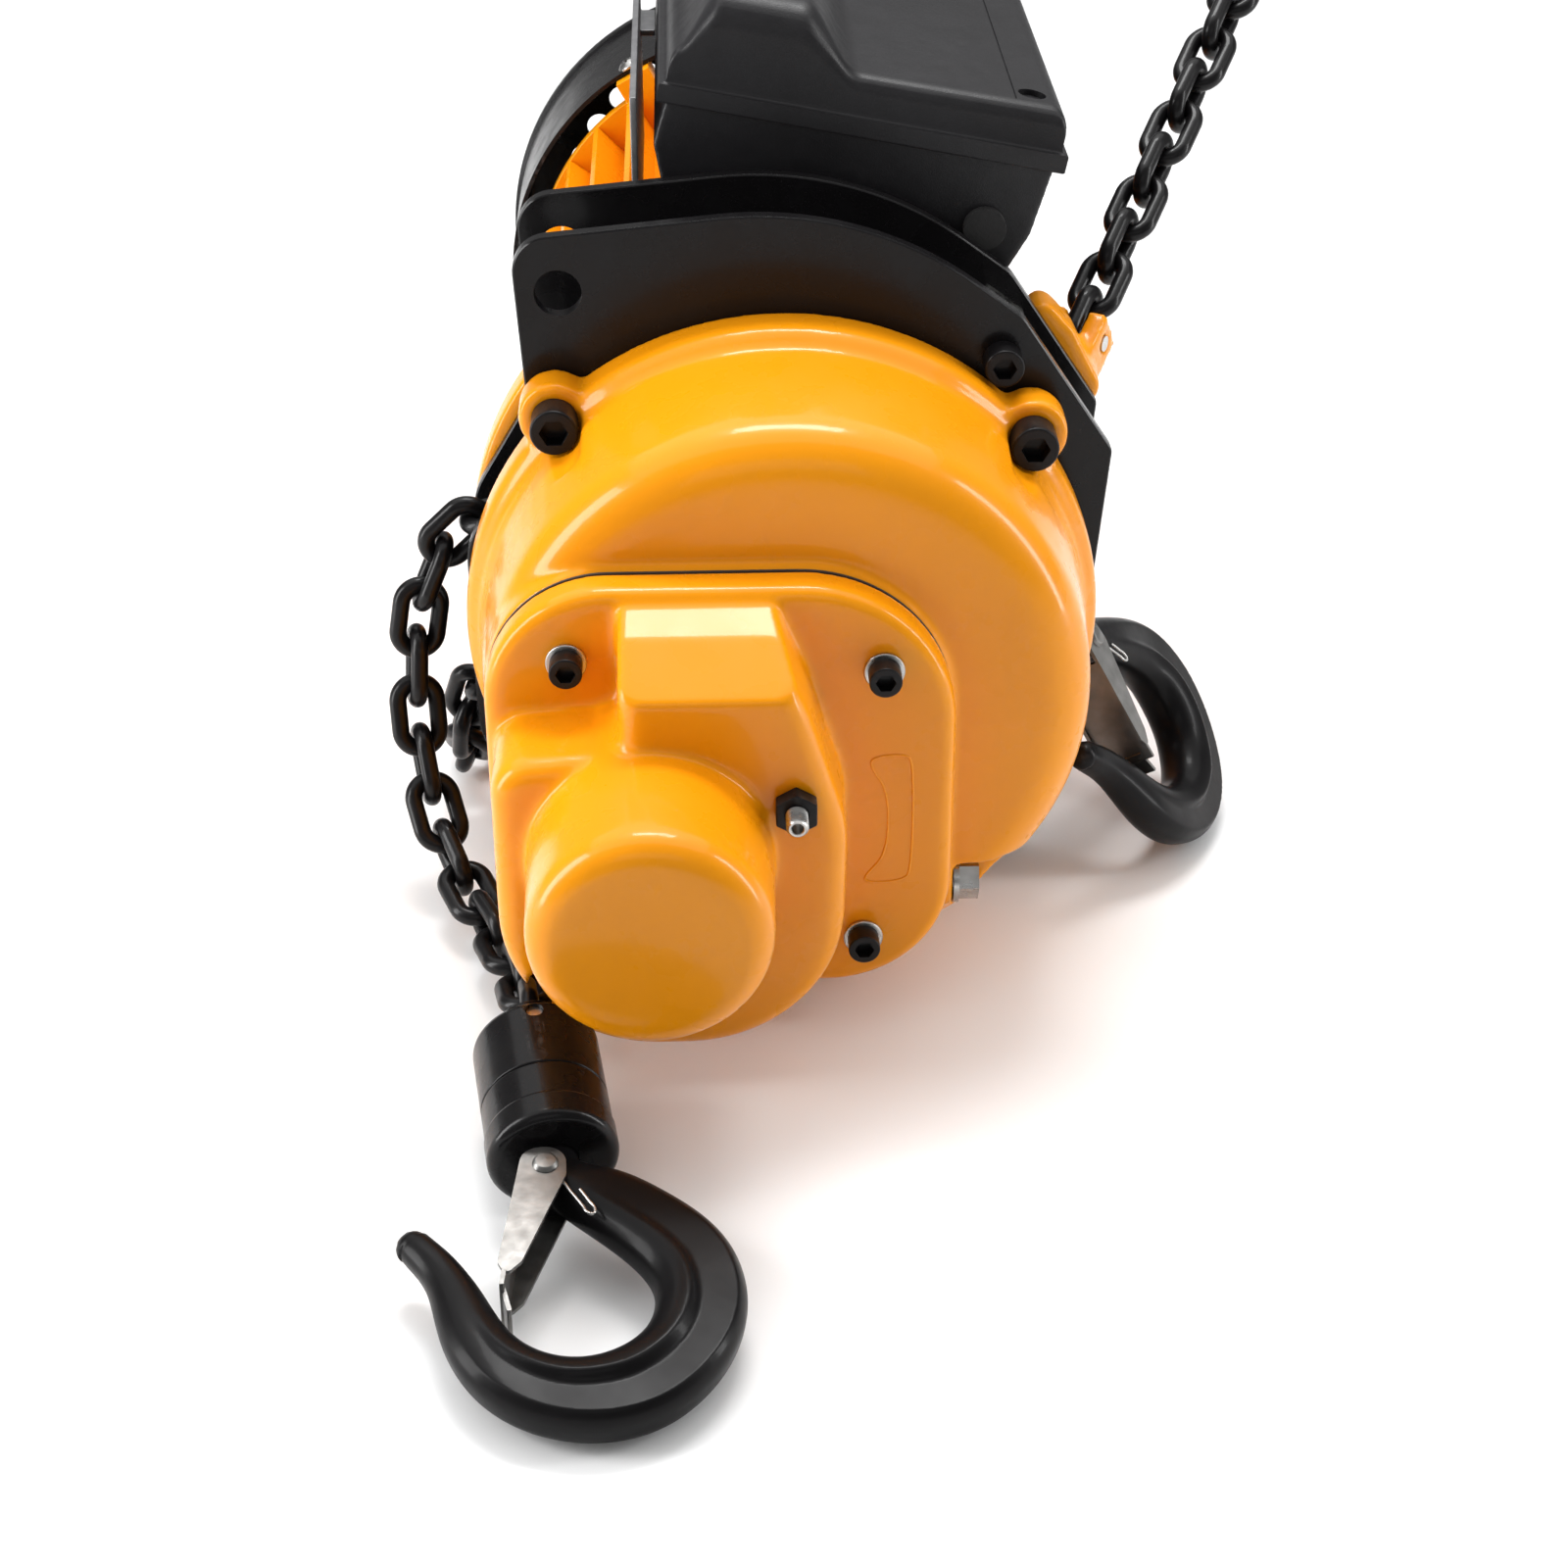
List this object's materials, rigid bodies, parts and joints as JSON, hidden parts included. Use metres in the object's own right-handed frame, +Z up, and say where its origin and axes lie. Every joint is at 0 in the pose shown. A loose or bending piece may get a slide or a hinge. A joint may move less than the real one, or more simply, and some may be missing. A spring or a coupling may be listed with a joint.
{
  "type": "electric chain hoist",
  "caption": "Electric chain hoist lying on its side: enamelled gear case, finned motor, control box, chain, and swivelling suspension and load hooks with latches.",
  "frame": {"origin": "bottom centre of the overall box, on the surface the hoist lies on", "axes": "+Z up; +Y along the main axis from the gear cover towards the motor fan; +X towards the suspension hook, away from the load chain"},
  "size_m": [0.4104, 0.7692, 0.3679],
  "materials": {
    "yellow_enamel": "gloss enamel on cast aluminium",
    "black_paint": "gloss black",
    "black_forging": "gloss black on forged steel",
    "black_chain": "black oiled alloy chain",
    "box_plastic": "satin moulded",
    "black_screw": "black oxide",
    "zinc_plate": "bright zinc",
    "machined_steel": "machined",
    "hardened_gear": "ground",
    "laminations": "varnished",
    "grey_sheet": "satin",
    "gasket_paper": "matte",
    "black_rubber": "matte",
    "fan_plastic": "moulded",
    "friction_lining": "matte",
    "component_grey": "moulded"
  },
  "bodies": {
    "frame": {"front_plate": "black_paint", "rear_plate": "black_paint", "plate_spacers": "zinc_plate", "frame_bolts": "black_screw", "plate_bolt": "black_screw", "gear_case": "yellow_enamel", "case_gasket": "gasket_paper", "gear_cover": "yellow_enamel", "cover_bolts": "black_screw", "cover_washers": "zinc_plate", "adjuster_screw": "zinc_plate", "adjuster_nut": "black_screw", "clutch_springs": "machined_steel", "clutch_pad": "machined_steel", "drain_plug": "zinc_plate", "sheave_bearings": "machined_steel", "intermediate_bearings": "machined_steel", "chain_guide": "black_paint", "motor_flange": "yellow_enamel", "motor_housing": "yellow_enamel", "stator": "laminations", "motor_bearings": "machined_steel", "end_shield": "yellow_enamel", "brake_coil": "laminations", "fan_cover": "black_paint", "fan_cover_screws": "zinc_plate", "box_base": "box_plastic", "box_gasket": "black_rubber", "box_lid": "box_plastic", "box_screws": "black_screw", "box_bracket": "grey_sheet", "box_plugs": "black_rubber", "mounting_plate": "grey_sheet", "capacitor": "component_grey", "contactor": "component_grey", "terminal_block": "component_grey", "load_chain": "black_chain", "slack_chain": "black_chain", "tail_chain": "black_chain", "tail_ring": "black_forging", "frame_pins": "machined_steel"},
    "sheave": {"load_sheave": "machined_steel", "output_gear": "hardened_gear"},
    "intermediate": {"intermediate_shaft": "hardened_gear", "intermediate_gear": "hardened_gear"},
    "motor": {"motor_shaft": "hardened_gear", "rotor": "laminations", "brake_disc": "friction_lining", "fan": "fan_plastic"},
    "brake_plate": {"brake_armature": "machined_steel"},
    "yoke": {"suspension_yoke": "black_paint"},
    "top_hook": {"suspension_hook": "black_forging"},
    "top_latch": {"suspension_latch": "zinc_plate"},
    "lower_link": {"end_link": "black_chain"},
    "block": {"hook_block": "black_paint", "hook_block_base": "black_paint", "hook_block_inside": "machined_steel"},
    "bottom_hook": {"load_hook": "black_forging"},
    "bottom_latch": {"load_latch": "zinc_plate"},
    "limit_rocker": {"limit_lever": "zinc_plate"}
  },
  "joints": [
    {"name": "sheave_spin", "type": "hinge", "parent": "frame", "child": "sheave", "pos_m": [-0.0444, -0.0194, 0.126], "axis": [0, 1, 0], "continuous": true},
    {"name": "intermediate_spin", "type": "hinge", "parent": "frame", "child": "intermediate", "pos_m": [-0.09625, -0.1054, 0.10484], "axis": [0, 1, 0], "continuous": true},
    {"name": "motor_spin", "type": "hinge", "parent": "frame", "child": "motor", "pos_m": [-0.0444, -0.0194, 0.126], "axis": [0, 1, 0], "continuous": true},
    {"name": "brake_release", "type": "slide", "parent": "frame", "child": "brake_plate", "axis": [0, 1, 0], "range_m": [0, 0.0006], "stiffness_N_per_m": 4000},
    {"name": "hook_swing", "type": "hinge", "parent": "frame", "child": "yoke", "pos_m": [0.0656, -0.0194, 0.1106], "axis": [0, 1, 0], "range_deg": [-90, 0]},
    {"name": "suspension_swivel", "type": "hinge", "parent": "yoke", "child": "top_hook", "pos_m": [0.0656, -0.0194, 0.1106], "axis": [-0.5736, 0, 0.8192], "range_deg": [-20, 180]},
    {"name": "suspension_latch_open", "type": "hinge", "parent": "top_hook", "child": "top_latch", "pos_m": [0.07738, -0.0232, 0.09162], "axis": [0.7791, -0.309, 0.5455], "range_deg": [0, 26], "stiffness_Nm_per_rad": 0.12, "springref_deg": -20.05},
    {"name": "end_link_lift", "type": "hinge", "parent": "frame", "child": "lower_link", "pos_m": [-0.14312, -0.19166, 0.03208], "axis": [-0.9885, -0.151, 0], "range_deg": [-2, 15]},
    {"name": "block_swing", "type": "hinge", "parent": "lower_link", "child": "block", "pos_m": [-0.13995, -0.21244, 0.02975], "axis": [0.0166, -0.1088, 0.9939], "range_deg": [-10, 10]},
    {"name": "load_hook_swivel", "type": "hinge", "parent": "block", "child": "bottom_hook", "pos_m": [-0.12174, -0.33162, 0.0164], "axis": [-0.1501, 0.9825, 0.1101], "continuous": true},
    {"name": "load_latch_open", "type": "hinge", "parent": "bottom_hook", "child": "bottom_latch", "pos_m": [-0.1341, -0.2772, 0.02256], "axis": [0.0166, -0.1088, 0.9939], "range_deg": [0, 26], "stiffness_Nm_per_rad": 0.12, "springref_deg": -20.05},
    {"name": "limit_trip", "type": "hinge", "parent": "frame", "child": "limit_rocker", "pos_m": [-0.1564, -0.0194, 0.126], "axis": [0, 1, 0], "range_deg": [-10, 10], "stiffness_Nm_per_rad": 0.5}
  ],
  "couplings": [
    {"joint": "intermediate_spin", "follows": "sheave_spin", "ratio": -3.6667},
    {"joint": "motor_spin", "follows": "sheave_spin", "ratio": 17.722}
  ]
}
